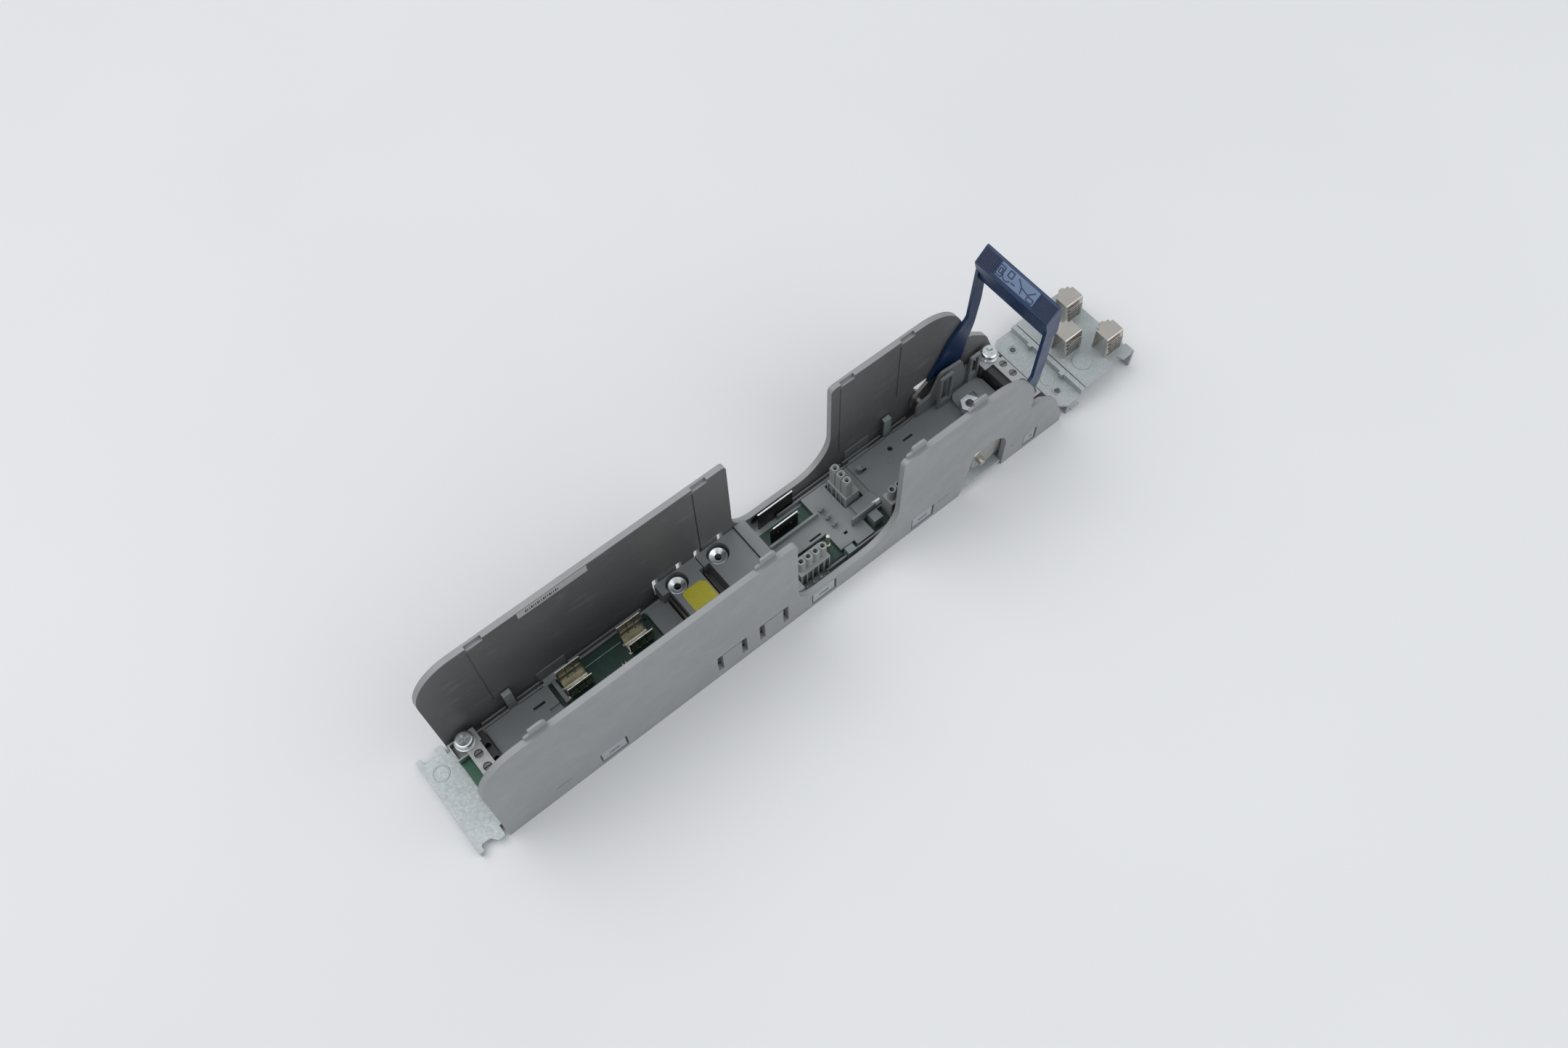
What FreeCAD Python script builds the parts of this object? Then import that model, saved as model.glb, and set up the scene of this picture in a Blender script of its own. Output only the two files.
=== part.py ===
"""Plug-on drive mounting rack, lying on its back: a galvanised back plate that carries a plastic trough
with two tall side walls, fuse clips, bus contacts, plug connectors, earth and supply terminals, a cable
shield plate with three spring clamps, and a U-shaped locking handle that swings on two pins.

Every sub-part is drawn in rack stations: x runs along the rack from the lower end of the side walls, y
runs across it from the middle, and z rises from the mounting surface. Each sub-part's own Placement then
moves it, so that the origin lies under the middle of the whole rack."""

import FreeCAD, Part
import math
import os

from FreeCAD import Placement, Rotation, Vector

DIMENSIONS = {
    # overall
    "lower_end": -17, "upper_end": 440, "frame_shift": -211.5,
    # side walls
    "wall_length": 381, "wall_height": 86.4, "outer_half": 30, "wall_thickness": 3.5, "inner_half": 26.5,
    "lower_round": 24, "upper_round": 32, "upper_edge": 350,
    "gap_start": 186.7, "gap_end": 255.5, "gap_floor": 16.5, "gap_round": 24, "gap_inner_round": 14,
    "tab_length": 9.4, "tab_rise": 6.6, "tab_root": 5, "tab_thickness": 1.4, "tab_notch": 2.6,
    "groove_width": 0.9, "groove_depth": 0.9,
    # back plate and upper bracket
    "sheet": 1.5, "plate_top": 5, "plate_half": 24, "plate_end": 379, "flange_half": 30, "flange_inner": -1.5,
    "hook_length": 5, "hook_top": 23, "apron_half": 29.4,
    "bracket_top": 10, "bracket_start": 381.5, "bracket_end": 400, "rail_top": 13.5,
    "mount_hole_radius": 1.8, "mount_hole_x": 388.8, "mount_hole_spacing": 37,
    # covers and boards
    "floor_top": 10, "cover_sheet": 2, "cover_half": 20.5, "board": 1.6, "board_top": 8,
    "fuse_board_start": 58.8, "fuse_board_end": 122, "bus_start": 122.4, "bus_end": 186.6, "bus_top": 20,
    "middle_start": 187, "middle_end": 262, "upper_start": 262.3, "upper_stop": 360,
    "signal_board_end": 273.5,
    "pole_pitch": 4.9, "pole_width": 5.2, "pole_hole": 1.15,
    # fuse clips
    "clip_length": 14, "clip_gauge": 0.8, "clip_jaw": 10.2, "clip_top": 26, "clip_row": 10.3,
    # bus bushes
    "bush_radius": 5.8, "bush_hole": 2.6, "bush_height": 7, "bush_recess": 6.4, "bush_seat": 17,
    "bush_row": 19.6, "bush_first": 143.6, "bush_pitch": 27.4,
    # handle
    "pivot_x": 319, "pivot_z": 18.5, "pin_radius": 2, "pin_clearance": 0.05, "arm_outer": 26.1,
    "arm_gauge": 2,
    "lever_top": 31,
    # shield plate and clamps
    "shield_top": 14.5, "shield_start": 400.6, "shield_half": 29, "clamp_length": 13, "clamp_width": 9,
    "clamp_height": 15.5, "clamp_gauge": 0.7,
    # terminals
    "lower_clamp_top": 14, "upper_clamp_top": 23, "screw_radius": 5, "screw_head": 3.2,
}

doc = FreeCAD.newDocument("rack")
sheet = doc.addObject("Spreadsheet::Sheet", "dim")
for row, (alias, number) in enumerate(DIMENSIONS.items(), start=1):
    sheet.set(f"A{row}", alias)
    sheet.set(f"B{row}", str(number))
    sheet.setAlias(f"B{row}", alias)
doc.recompute()

SUB_PARTS = []
PLANES = {"top": "XY_Plane", "side": "XZ_Plane", "end": "YZ_Plane"}


class Dim:
    """Reads a driving dimension from the sheet as a plain number."""

    def __getattr__(self, alias):
        return float(sheet.get(alias))


dim = Dim()


def box(name, x, y, z):
    """A Part::Box between the (low, high) pair of each axis; a bound is a number or an expression."""
    solid = doc.addObject("Part::Box", name)
    for axis, size, (low, high) in (("x", "Length", x), ("y", "Width", y), ("z", "Height", z)):
        solid.setExpression(f"Placement.Base.{axis}", f"{low}")
        solid.setExpression(size, f"({high}) - ({low})")
    return solid


def cylinder(name, radius, length, base, axis="z"):
    """A Part::Cylinder whose lower end centre is at base, along +x, +y or +z."""
    solid = doc.addObject("Part::Cylinder", name)
    solid.setExpression("Radius", f"{radius}")
    solid.setExpression("Height", f"{length}")
    turn = {"x": Rotation(Vector(0, 1, 0), 90), "y": Rotation(Vector(1, 0, 0), -90), "z": Rotation()}[axis]
    solid.Placement = Placement(Vector(), turn)
    for side, value in zip("xyz", base):
        solid.setExpression(f"Placement.Base.{side}", f"{value}")
    return solid


def fuse(name, solids):
    joined = doc.addObject("Part::MultiFuse", name)
    joined.Shapes = solids
    joined.Refine = True
    return joined


def cut(name, base, tools):
    """base with every tool taken out of it."""
    taken = doc.addObject("Part::Cut", name)
    taken.Base = base
    taken.Tool = tools[0] if len(tools) == 1 else fuse(f"{name}_tools", tools)
    taken.Refine = True
    return taken


def group(name, solids):
    """Separate solids that share one node."""
    together = doc.addObject("Part::Compound", name)
    together.Links = solids
    return together


def sub_part(label, solid):
    """Gives the finished solid its own label and moves it from rack stations to the part's frame."""
    solid.Label = label
    station = next((text for path, text in solid.ExpressionEngine if path.endswith("Base.x")), "0")
    solid.setExpression("Placement.Base.x", f"{station} + dim.frame_shift")
    SUB_PARTS.append(solid)


def draw_outline(sketch, corners):
    """Draws a closed outline of (u, v, corner radius) points: straight sides joined by tangent arcs."""
    count = len(corners)
    places = [Vector(u, v, 0) for u, v, _ in corners]
    spans = []
    for index, (_, _, radius) in enumerate(corners):
        corner = places[index]
        back = (places[index - 1] - corner).normalize()
        ahead = (places[(index + 1) % count] - corner).normalize()
        if radius == 0:
            spans.append((corner, None, corner))
            continue
        half_angle = back.getAngle(ahead) / 2
        reach = radius / math.tan(half_angle)
        bisector = (back + ahead).normalize()
        middle = corner + bisector * (radius / math.sin(half_angle) - radius)
        spans.append((corner + back * reach, middle, corner + ahead * reach))
    for index, (start, middle, end) in enumerate(spans):
        if middle is not None:
            sketch.addGeometry(Part.Arc(start, middle, end))
        following = spans[(index + 1) % count][0]
        if end.distanceToPoint(following) > 1e-6:
            sketch.addGeometry(Part.LineSegment(end, following))


def profile(name, plane, start, depth, outlines):
    """A PartDesign body: outlines on the named plane, padded by depth from the expression start."""
    body = doc.addObject("PartDesign::Body", name)
    sketch = body.newObject("Sketcher::SketchObject", f"{name}_sketch")
    wanted = PLANES[plane]
    sketch.AttachmentSupport = [(item, "") for item in body.Origin.OriginFeatures if item.Role == wanted]
    sketch.MapMode = "FlatFace"
    sketch.setExpression("AttachmentOffset.Base.z", f"{start}")
    for corners in outlines:
        draw_outline(sketch, corners)
    pad = body.newObject("PartDesign::Pad", f"{name}_pad")
    pad.Profile = sketch
    pad.setExpression("Length", f"{depth}")
    return body


def across(side, inner, outer):
    """The (low, high) y span between two distances from the middle, on side -1 (near) or 1 (far)."""
    return tuple(sorted((side * inner, side * outer)))


def rectangle(low_u, high_u, low_v, high_v, radius=0):
    return [(low_u, low_v, radius), (high_u, low_v, radius), (high_u, high_v, radius),
            (low_u, high_v, radius)]


# ---------------------------------------------------------------- side walls

def spring_tab_slot(start, end):
    """The slot that frees a spring tab on three sides: two legs joined along the top."""
    low, high, leg, top = 7.5, 24.5, 3.5, 1.1
    return [(start, low, 0), (start, high, 1), (end, high, 1), (end, low, 0),
            (end - leg, low, 0), (end - leg, high - top, 0),
            (start + leg, high - top, 0), (start + leg, low, 0)]


def wall_outline(window):
    """The wall's outline seen from the side, with its middle gap and a handle window open at the bottom."""
    return [
        (0, 0, 0),
        (0, dim.wall_height, dim.lower_round),
        (dim.gap_start, dim.wall_height, 3),
        (dim.gap_start, dim.gap_floor, dim.gap_inner_round),
        (dim.gap_end, dim.gap_floor, dim.gap_round),
        (dim.gap_end, dim.wall_height, 3),
        (dim.upper_edge, dim.wall_height, dim.upper_round),
        (dim.upper_edge, 47, 3),
        (347, 38, 0.8),
        (350, 43.5, 2),
        (358, 43.5, 9),
        (372, 31, 14),
        (dim.wall_length, 8, 8),
        (dim.wall_length, 0, 0)] + window


CLIP_WINDOWS = ((57.3, 74), (195.8, 212.6), (266.4, 282.8), (351, 361))
TAB_STARTS = (33, 165.5, 262, 303.5)
NEAR_WINDOW = [(335, 0, 0), (335, 36.5, 15), (309.5, 38.5, 3), (302.5, 0, 0)]
FAR_WINDOW = [(335, 0, 0), (335, 31, 6), (315.5, 31.5, 1), (319, 24, 2), (324.5, 17, 1), (324.5, 0, 0)]


def side_wall(label, side, high_y, window):
    """One moulded wall: clip windows, spring tabs and grooves, with rim tabs (near) or rim notches (far)."""
    openings = [rectangle(start, end, 2.2, 14.2) for start, end in CLIP_WINDOWS]
    openings += [spring_tab_slot(132.7, 152), spring_tab_slot(160.3, 179.6)]
    openings += [rectangle(31, 39.5, 12.8, 13.5), rectangle(285, 294, 12.8, 13.5),
                 rectangle(340.9, 341.9, 13.2, 14.2)]
    wall = profile(f"{label}_panel", "side", f"-({high_y})", "dim.wall_thickness",
                   [wall_outline(window)] + openings)
    groove_span = across(side, dim.inner_half, dim.inner_half + dim.groove_depth)
    rim = dim.wall_height
    cuts = []
    tabs = []
    for index, start in enumerate(TAB_STARTS):
        end = start + dim.tab_length
        groove_foot = 18 if index < 3 else 34
        cuts.append(box(f"{label}_groove_{index}", (start - dim.groove_width, start), groove_span,
                        (groove_foot, "dim.wall_height - 4")))
        if side > 0:
            cuts.append(box(f"{label}_notch_{index}", (start, end),
                            ("dim.inner_half", "dim.outer_half - dim.tab_thickness"),
                            ("dim.wall_height - dim.tab_notch", "dim.wall_height + 1")))
            continue
        tabs.append(profile(f"{label}_tab_{index}", "side", "dim.inner_half", "dim.tab_thickness", [[
            (start, rim - dim.tab_root, 0), (end, rim - dim.tab_root, 0), (end, rim + dim.tab_rise, 3),
            (start, rim + dim.tab_rise, 1), (start, rim + 2.6, 0.5), (start - 3.2, rim + 2.6, 1.5),
            (start - 3.2, rim - dim.tab_root, 0)]]))
    grooved = cut(f"{label}_grooved", wall, cuts)
    sub_part(label, fuse(f"{label}_whole", [grooved] + tabs) if tabs else grooved)


side_wall("side_wall_near", -1, "-dim.inner_half", NEAR_WINDOW)
side_wall("side_wall_far", 1, "dim.outer_half", FAR_WINDOW)

# ---------------------------------------------------------------- back plate

flange_side = [(-14, 30, 0), (-14, 26.5, 1), (-8.5, 26.5, 2), (-6, 30, 1), (dim.flange_inner, 30, 1),
               (dim.flange_inner, dim.plate_half, 0), (dim.plate_end, dim.plate_half, 0)]
flange_end = [(dim.lower_end + dim.sheet, -30, 0), (dim.lower_end + dim.sheet, 30, 0)]
flange_near = [(x, -y, radius) for x, y, radius in reversed(flange_side)]
flange = profile("flange_blank", "top", "dim.plate_top - dim.sheet", "dim.sheet",
                 [flange_end + flange_side + flange_near])
lip = box("flange_lip", ("dim.lower_end", "dim.lower_end + dim.sheet"),
          ("-dim.flange_half", "dim.flange_half"), (0, "dim.plate_top"))
earth_ring = cut("earth_ring", cylinder("earth_ring_outer", 4.6, 0.3, (-9.7, 16.9, "dim.plate_top")),
                 [cylinder("earth_ring_inner", 4, 1, (-9.7, 16.9, "dim.plate_top - 0.2"))])
HOOK_STARTS = (36.3, 292.5)
plate_pieces = [flange, lip, earth_ring]
for end_name, side in (("near", -1), ("far", 1)):
    ear_high = max(side * 28.4, side * 29.6)
    plate_pieces.append(box(f"stand_{end_name}", ("dim.flange_inner - 4", "dim.flange_inner"),
                            across(side, 26, 27.5), (0, "dim.plate_top - dim.sheet")))
    for index, (start, end) in enumerate(CLIP_WINDOWS):
        ear = profile(f"ear_{end_name}_{index}", "side", f"{-ear_high}", 1.2,
                      [rectangle(start + 1, end - 1, 3.5, 13, 0.8),
                       rectangle(start + 5.4, start + 5.4 + min(6.2, end - start - 8), 6.3, 8.4)])
        plate_pieces.append(ear)
        plate_pieces.append(box(f"ear_web_{end_name}_{index}", (start + 1, end - 1),
                                across(side, 23.5, 29.6), ("dim.plate_top - dim.sheet", "dim.plate_top")))
    for index, start in enumerate(HOOK_STARTS):
        length = (start, f"{start} + dim.hook_length")
        plate_pieces.append(box(f"hook_{end_name}_{index}", length, across(side, 23, 24),
                                ("dim.plate_top - 1", "dim.hook_top")))
        plate_pieces.append(box(f"hook_tip_{end_name}_{index}", length, across(side, 23, 25.8),
                                ("dim.hook_top - 1", "dim.hook_top")))
plate_pieces.append(box("apron", (304.4, 334), ("-dim.apron_half", -23.5),
                        ("dim.plate_top - dim.sheet", "dim.plate_top")))
sub_part("back_plate", fuse("back_plate_whole", plate_pieces))

# ---------------------------------------------------------------- upper bracket and shield plate

bracket_blank = profile("bracket_blank", "top", "dim.bracket_top - dim.sheet", "dim.sheet", [[
    (dim.bracket_start, -26, 2), (dim.bracket_start, 26, 2), (386, 29.5, 1), (dim.bracket_end - 3, 29.5, 0),
    (dim.bracket_end - 3, -29.5, 0), (386, -29.5, 1)]])
mount_holes = [cylinder(f"mount_hole_{index}", "dim.mount_hole_radius", 4,
                        ("dim.mount_hole_x", f"{side} * dim.mount_hole_spacing / 2", 7))
               for index, side in enumerate((-1, 1))]
bracket_sheet = cut("bracket_sheet", bracket_blank, mount_holes)
bracket_pieces = [bracket_sheet]
for index, side in enumerate((-1, 1)):
    dimple = cut(f"hole_rim_{index}",
                 cylinder(f"hole_rim_outer_{index}", 3.1, 0.5,
                          ("dim.mount_hole_x", f"{side} * dim.mount_hole_spacing / 2", "dim.bracket_top")),
                 [cylinder(f"hole_rim_inner_{index}", 2.4, 2,
                           ("dim.mount_hole_x", f"{side} * dim.mount_hole_spacing / 2",
                            "dim.bracket_top - 1"))])
    bracket_pieces.append(dimple)
    bracket_pieces.append(box(f"bracket_side_{index}", (387, 395), across(side, 28, 29.5),
                              (0, "dim.bracket_top - dim.sheet")))
    bracket_pieces.append(box(f"bracket_toe_{index}", (389, 395.5), across(side, 29.5, 31),
                              (3.5, 5)))
bracket_pieces.append(cylinder("bracket_boss", 4.2, 0.5, (389.6, -9.5, "dim.bracket_top")))
bracket_pieces.append(box("rail_wall", ("dim.bracket_end - 3", "dim.bracket_end - 1.5"), (-29, 29),
                          ("dim.bracket_top - dim.sheet", "dim.rail_top")))
bracket_pieces.append(box("rail_cap", ("dim.bracket_end - 3", "dim.bracket_end"), (-29, 29),
                          ("dim.rail_top", "dim.rail_top + 1")))
bracket_pieces += [box(f"rail_tab_{index}", ("dim.bracket_end - 4.6", "dim.bracket_end - 3"),
                       (middle - 1.5, middle + 1.5),
                       ("dim.rail_top - 1.5", "dim.rail_top + 1")) for index, middle in enumerate((-13, 13))]
bracket_pieces.append(box("bracket_tongue", (375, "dim.bracket_start + 3"), (-18, 18), (6.5, 8)))
bracket_pieces.append(box("bracket_tongue_riser", ("dim.bracket_start + 1", "dim.bracket_start + 3"),
                          (-18, 18),
                          (7, "dim.bracket_top - 0.5")))
sub_part("upper_bracket", fuse("upper_bracket_whole", bracket_pieces))

shield_blank = profile("shield_blank", "top", "dim.shield_top - dim.sheet", "dim.sheet", [[
    (dim.shield_start, -dim.shield_half, 1), (421, -dim.shield_half, 0), (429, -24, 1),
    (431, -dim.shield_half, 0), (dim.upper_end - 1.5, -dim.shield_half, 1),
    (dim.upper_end - 1.5, dim.shield_half, 3), (dim.shield_start, dim.shield_half, 1)]])
shield_pieces = [shield_blank]
shield_pieces.append(cylinder("shield_boss", 5.6, 0.6, (411, -15, "dim.shield_top")))
for index, side in enumerate((-1, 1)):
    shield_pieces.append(box(f"shield_foot_{index}", ("dim.upper_end - 1.5", "dim.upper_end"),
                             across(side, 22, 29), (0, "dim.shield_top")))
sub_part("shield_plate", fuse("shield_plate_whole", shield_pieces))

CLAMP_PLACES = ((421.8, 11.6), (404.2, -5.2), (422.8, -20))


def shield_clamp(number, start, low):
    """A sprung strip: foot, slotted front, flat top with a toothed tab, and a plain back."""
    name = f"shield_clamp_{number}"
    end = start + dim.clamp_length
    high = low + dim.clamp_width
    gauge = dim.clamp_gauge
    foot = dim.shield_top
    top = foot + dim.clamp_height
    lean = 1.6
    section = [(low - lean, foot, 0.4), (low - lean - 0.4, foot + 4, 3), (low, top, 0.8), (high, top, 0.8),
               (high, foot, 0), (high - gauge, foot, 0), (high - gauge, top - gauge, 0.3),
               (low + gauge, top - gauge, 0.3), (low - lean + gauge, foot + 4, 3), (low - lean + gauge,
                       foot, 0)]
    strip = profile(f"{name}_strip", "end", f"{start}", "dim.clamp_length", [section])
    slots = [box(f"{name}_slot_{index}", (start + 1.6, end - 1.6), (low - 4, low + 2),
                 (foot + 3.2 + 3.1 * index, foot + 4.6 + 3.1 * index)) for index in range(3)]
    teeth = profile(f"{name}_teeth", "top", f"{top - gauge}", "dim.clamp_gauge", [[
        (start + 2, high - 0.5, 0), (start + 2, high + 1.6, 0.5), (start + 4.4, high + 1.6, 0.3),
        (start + 4.4, high + 3, 0.5), (start + 8, high + 3, 0.5), (start + 8, high + 1.6, 0.3),
        (end - 2, high + 1.6, 0.5), (end - 2, high - 0.5, 0)]])
    sub_part(name, fuse(f"{name}_whole", [cut(f"{name}_slotted", strip, slots), teeth]))


for clamp_number, (clamp_start, clamp_low) in enumerate(CLAMP_PLACES, start=1):
    shield_clamp(clamp_number, clamp_start, clamp_low)

# ---------------------------------------------------------------- lower end: earth terminal, supply terminals

sub_part("lower_board", box("lower_board_solid", (0.8, 14), (-22, 13.2),
                            ("dim.board_top - dim.board", "dim.board_top")))
lower_block = cut("lower_block_solid",
                  box("lower_block_body", (14.2, 19.2), (-20, 20.4), ("dim.plate_top", 12.5)),
                  [cylinder(f"wire_hole_{index}", 1.7, 20, (16.7, 11 - 8.6 * index, 8))
                   for index in range(4)])
sub_part("lower_terminal_block", lower_block)
lower_strip = box("lower_strip_blank", (6.6, 15), (-16, 15.5), (12.6, "dim.lower_clamp_top"))
lower_tab = box("lower_strip_tab", (6.6, 16), (15.5, 24), (12.6, "dim.lower_clamp_top"))
lower_plate = box("lower_clamp_blank", (0.4, 14), (13.4, 24.4), ("dim.plate_top", 12.6))
clamp_recess = box("lower_clamp_recess", (1.4, 13), (14.4, 23.4), (7, 12.6))
sub_part("lower_clamp_body", cut("lower_clamp_body_solid", lower_plate, [clamp_recess]))
LOWER_SCREWS = [(10.8, 10 - 8.4 * index) for index in range(4)]
lower_holes = [cylinder(f"lower_terminal_hole_{index}", 2.4, 4, (x, y, 11.5))
               for index, (x, y) in enumerate(LOWER_SCREWS)]
lower_earth_hole = cylinder("lower_earth_hole", 2.1, 4, (8.8, 19.6, 11.5))
sub_part("lower_clamp_plate", cut("lower_clamp_plate_solid", fuse("lower_strip", [lower_strip, lower_tab]),
                                  lower_holes + [lower_earth_hole]))


def earth_screw(label, x, y, seat):
    """A pan-head screw with a cross recess and a plain washer under its head."""
    head = cylinder(f"{label}_head", "dim.screw_radius", "dim.screw_head", (x, y, seat + 1))
    washer = cylinder(f"{label}_washer", "dim.screw_radius + 0.6", 1, (x, y, seat))
    shank = cylinder(f"{label}_shank", 2, 6.5, (x, y, seat - 6.5))
    top = seat + 1 + dim.screw_head
    rounded = doc.addObject("Part::Fillet", f"{label}_rounded")
    rounded.Base = head
    doc.recompute()
    rim = [index for index, edge in enumerate(head.Shape.Edges, start=1)
           if edge.Closed and abs(edge.BoundBox.ZMin - top) < 0.01 and edge.BoundBox.XLength > 1]
    rounded.Edges = [(index, 1.4, 1.4) for index in rim]
    recess = [box(f"{label}_recess_{index}", (x - length / 2, x + length / 2), (y - width / 2, y + width / 2),
                  (top - 1.9, top + 1)) for index, (length, width) in enumerate(((5.2, 1.1), (1.1, 5.2)))]
    whole = fuse(f"{label}_joined", [rounded, washer, shank])
    sub_part(label, cut(f"{label}_solid", whole, recess))


def terminal_screws(label, places, seat):
    """The slotted clamp screws that sit down inside the terminal holes."""
    screws = []
    for index, (x, y) in enumerate(places):
        body = cylinder(f"{label}_body_{index}", 2.2, 3.4, (x, y, seat - 3.4))
        slot = box(f"{label}_slot_{index}", (x - 3, x + 3), (y - 0.4, y + 0.4), (seat - 1, seat + 1))
        screws.append(cut(f"{label}_cut_{index}", body, [slot]))
    sub_part(label, group(f"{label}_group", screws))


earth_screw("lower_earth_screw", 8.8, 19.6, dim.lower_clamp_top)
terminal_screws("lower_terminal_screws", LOWER_SCREWS, dim.lower_clamp_top - 0.6)

# ---------------------------------------------------------------- lower cover and fuse board

lower_tray = box("lower_cover_blank", (19.7, 58.4), ("-dim.cover_half", "dim.cover_half"),
                 ("dim.plate_top", "dim.floor_top"))
lower_hollow = box("lower_cover_hollow", (21.7, 56.4), ("-dim.cover_half + 2", "dim.cover_half - 2"),
                   (0, "dim.floor_top - dim.cover_sheet"))
lower_slot = box("lower_cover_slot", (45.6, 52.6), (12.6, 14), (0, 20))
lower_step = box("lower_cover_step", (52, 60), (6, 8), (8.8, 12))
sub_part("lower_cover", cut("lower_cover_solid", lower_tray, [lower_hollow, lower_slot, lower_step]))

board_holes = [cylinder(f"board_hole_{index}", 1.3, 4, (x, y, 5)) for index, (x, y) in
               enumerate(((90, 0), (61.5, 18), (61.5, -18), (119.5, 18), (119.5, -18)))]
sub_part("fuse_board", cut("fuse_board_solid",
                           box("fuse_board_blank", ("dim.fuse_board_start", "dim.fuse_board_end"),
                               ("-dim.cover_half", "dim.cover_half"), ("dim.board_top - dim.board",
                                       "dim.board_top")),
                           board_holes))
sub_part("board_posts", group("board_posts_group", [
    cylinder(f"board_post_{index}", 2.6, "dim.board_top - dim.board - dim.plate_top", (x, y, "dim.plate_top"))
    for index, (x, y) in enumerate(((61.5, 18), (61.5, -18), (119.5, 18), (119.5, -18), (90, 0)))]))


def fuse_clip(number, start, row):
    """Two sprung jaws that rise from a common foot, wrap a round barrel and flare out at their tips."""
    name = f"fuse_clip_{number}"
    gauge = dim.clip_gauge
    jaw = dim.clip_jaw / 2
    foot = dim.board_top
    top = dim.clip_top
    waist = top - 5
    belly = foot + 8.6
    outside = [(row - 3.6, foot, 0), (row + 3.6, foot, 0.8), (row + jaw + gauge + 0.6, belly, 5),
               (row + jaw - 0.5 + gauge, waist, 2), (row + jaw + 1.2, top, 0.3),
               (row + jaw + 1.2 - gauge, top, 0.3), (row + jaw - 0.5, waist, 2), (row + jaw + 0.6, belly, 5)]
    inside = [(row + 3, foot + gauge, 0.6), (row - 3, foot + gauge, 0.6)]
    mirrored = [(2 * row - y, z, radius) for y, z, radius in reversed(outside[1:])]
    section = outside[1:] + inside + mirrored
    strip = profile(f"{name}_strip", "end", f"{start}", "dim.clip_length", [section])
    splits = [box(f"{name}_split_{index}", (start + 4.3 + 4.7 * index, start + 4.9 + 4.7 * index),
                  (row - 9, row + 9), (foot + 5, top + 1)) for index in range(2)]
    legs = [box(f"{name}_leg_{index}", (start - 1.2, start + 0.2),
                (row + side * 3 - 0.7, row + side * 3 + 0.7),
                ("dim.board_top", "dim.board_top + dim.clip_gauge")) for index, side in enumerate((-1, 1))]
    sub_part(name, fuse(f"{name}_whole", [cut(f"{name}_split", strip, splits)] + legs))


clip_number = 0
for clip_row in (dim.clip_row, -dim.clip_row):
    for clip_station in (64.6, 103.2):
        clip_number += 1
        fuse_clip(clip_number, clip_station, clip_row)

# ---------------------------------------------------------------- bus block with its bushes and bars

bus_pieces = [
    box("bus_apron", ("dim.bus_start", 134.8), ("-dim.cover_half", "dim.cover_half"),
        ("dim.plate_top", "dim.floor_top")),
    box("bus_base", (134.8, "dim.bus_end"), (-21, 21), ("dim.plate_top", "dim.floor_top")),
]
for index, (start, end, inset) in enumerate(((133.2, 159.8, 4.8), (160.3, 186.6, 3.8))):
    high_z = ("dim.floor_top - 2", "dim.bus_top")
    bus_pieces.append(box(f"bus_core_{index}", (start + inset, end - (2.6 if index == 0 else 0)),
                          (-18.2, 18.2), high_z))
    for end_name, side in (("near", -1), ("far", 1)):
        bus_pieces.append(box(f"bus_cap_{index}_{end_name}", (start, end), across(side, 18, 26.2), high_z))
BUSH_CENTRES = [f"dim.bush_first + {index} * dim.bush_pitch" for index in range(2)]
bus_wells = [cylinder(f"bush_well_{index}", "dim.bush_recess", 20,
                      (centre, "dim.bush_row", "dim.bush_seat - dim.bush_height"))
             for index, centre in enumerate(BUSH_CENTRES)]
bus_wells += [cylinder(f"bush_way_{index}", "dim.bush_hole + 0.3", 20, (centre, "dim.bush_row", 0))
              for index, centre in enumerate(BUSH_CENTRES)]
bar_slots = [box("bus_bar_slot_0", (135.4, 137.9), (-17.8, 17.8), (7, 30)),
             box("bus_bar_slot_1", (157.4, 163.9), (-17.8, 17.8), (7, 30))]
bus_notch = box("bus_notch", (159.8, 160.3), (-27, 27), (12, 30))
sub_part("bus_block", cut("bus_block_solid", fuse("bus_block_blank", bus_pieces),
                          bus_wells + bar_slots + [bus_notch]))
for index, centre in enumerate(BUSH_CENTRES):
    outer = cylinder(f"bush_body_{index}", "dim.bush_radius", "dim.bush_height - 1.2",
                     (centre, "dim.bush_row", "dim.bush_seat - dim.bush_height"))
    taper = doc.addObject("Part::Cone", f"bush_taper_{index}")
    taper.setExpression("Radius1", "dim.bush_radius")
    taper.setExpression("Radius2", "dim.bush_radius - 1")
    taper.Height = 1.2
    taper.setExpression("Placement.Base.x", centre)
    taper.setExpression("Placement.Base.y", "dim.bush_row")
    taper.setExpression("Placement.Base.z", "dim.bush_seat - 1.2")
    thread = cylinder(f"bush_thread_{index}", "dim.bush_hole", 20, (centre, "dim.bush_row", 0))
    blank = fuse(f"bush_blank_{index}", [outer, taper])
    sub_part(f"bus_bush_{index + 1}", cut(f"bus_bush_{index + 1}_solid", blank, [thread]))
sub_part("bus_bars", group("bus_bars_group", [
    box("bus_bar_0", (135.9, 137.4), (-17, 17), (7, 15)),
    box("bus_bar_1", (159, 160.6), (-17, 17), (7, 15))]))

# ---------------------------------------------------------------- middle cover, signal board, connectors

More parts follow.
